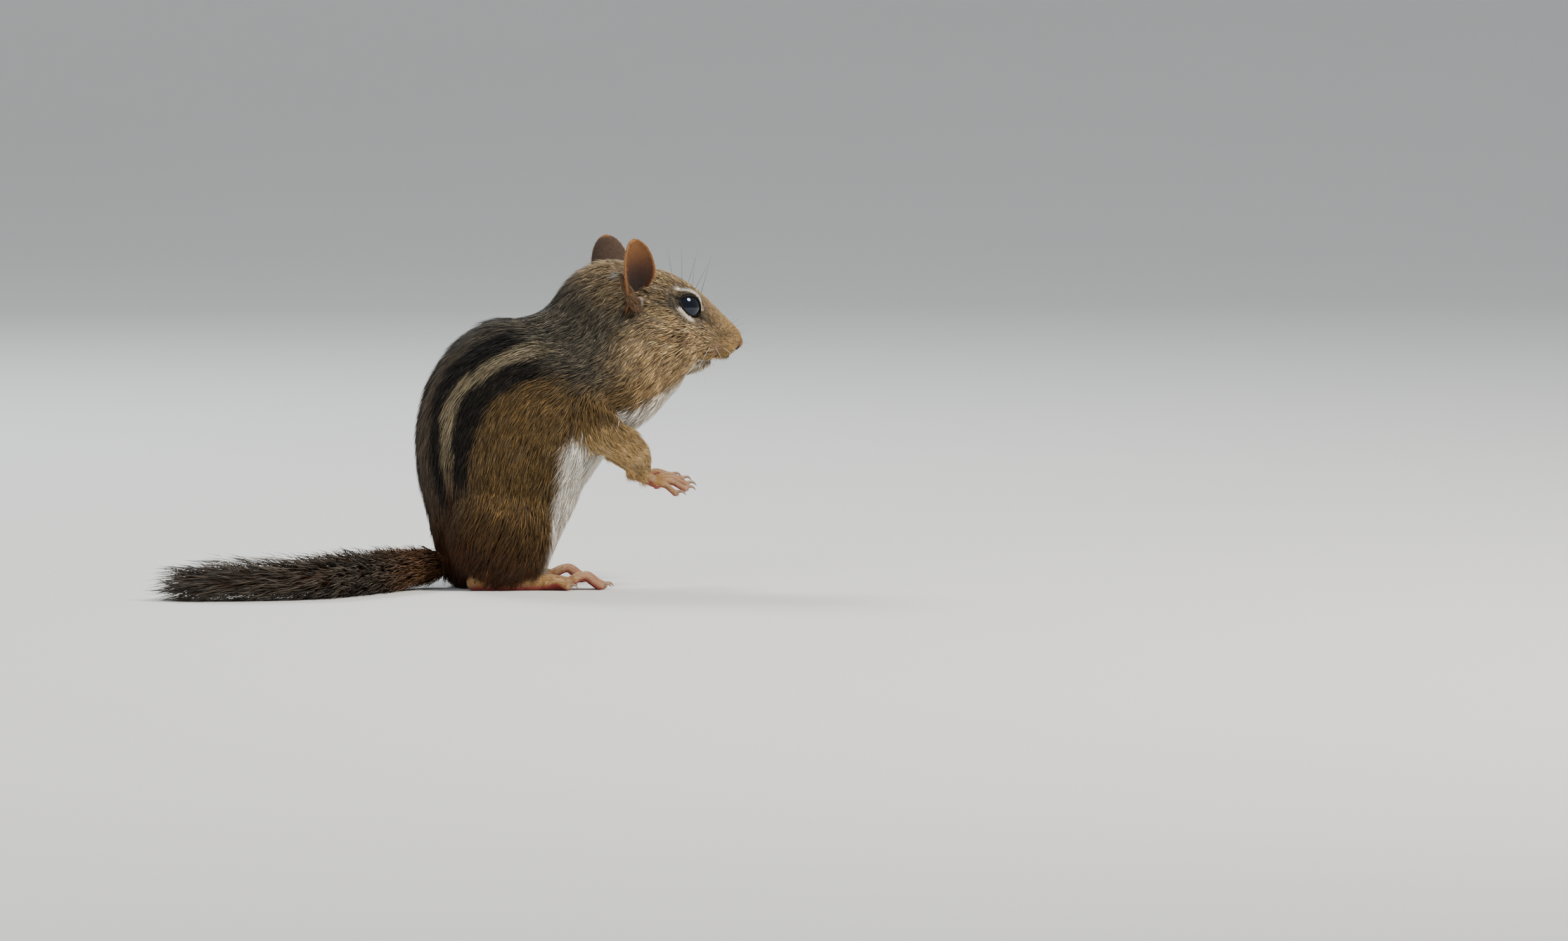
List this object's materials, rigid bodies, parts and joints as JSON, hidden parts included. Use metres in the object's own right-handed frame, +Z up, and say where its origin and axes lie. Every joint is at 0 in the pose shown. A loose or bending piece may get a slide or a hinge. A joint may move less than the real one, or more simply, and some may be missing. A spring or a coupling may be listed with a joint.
{
  "type": "eastern chipmunk, still model",
  "caption": "Life-size chipmunk sitting up on its haunches, forepaws held out in front and tail laid along the ground",
  "frame": {"origin": "middle of the box round the model, on the ground that it sits on", "axes": "+X is the way the animal faces, +Y its left side, +Z up"},
  "size_m": [0.1592, 0.0662, 0.0888],
  "materials": {
    "trunk": "short grizzled grey-brown fur with five dark and four pale stripes along the back, white below",
    "face": "short golden-brown fur with a white ring round the eye and a pale throat",
    "haunch": "short chestnut fur",
    "limb": "very short golden-buff fur",
    "paw": "pinkish skin under very short buff hair, with pale claws",
    "ear": "thin skin with a fine orange-brown nap and a pale rim",
    "tail": "long dark hair with silvery tips over a chestnut core",
    "eye": "wet glossy black"
  },
  "bodies": {
    "root": {"torso": "trunk", "neck": "trunk", "head": "face", "tail_base": "tail", "tail_middle": "tail", "tail_tip": "tail", "left_eye": "eye", "right_eye": "eye", "left_ear": "ear", "right_ear": "ear", "left_upper_arm": "limb", "right_upper_arm": "limb", "left_forearm": "limb", "right_forearm": "limb", "left_forepaw": "paw", "right_forepaw": "paw", "left_haunch": "haunch", "right_haunch": "haunch", "left_hind_foot": "paw", "right_hind_foot": "paw"}
  },
  "joints": []
}
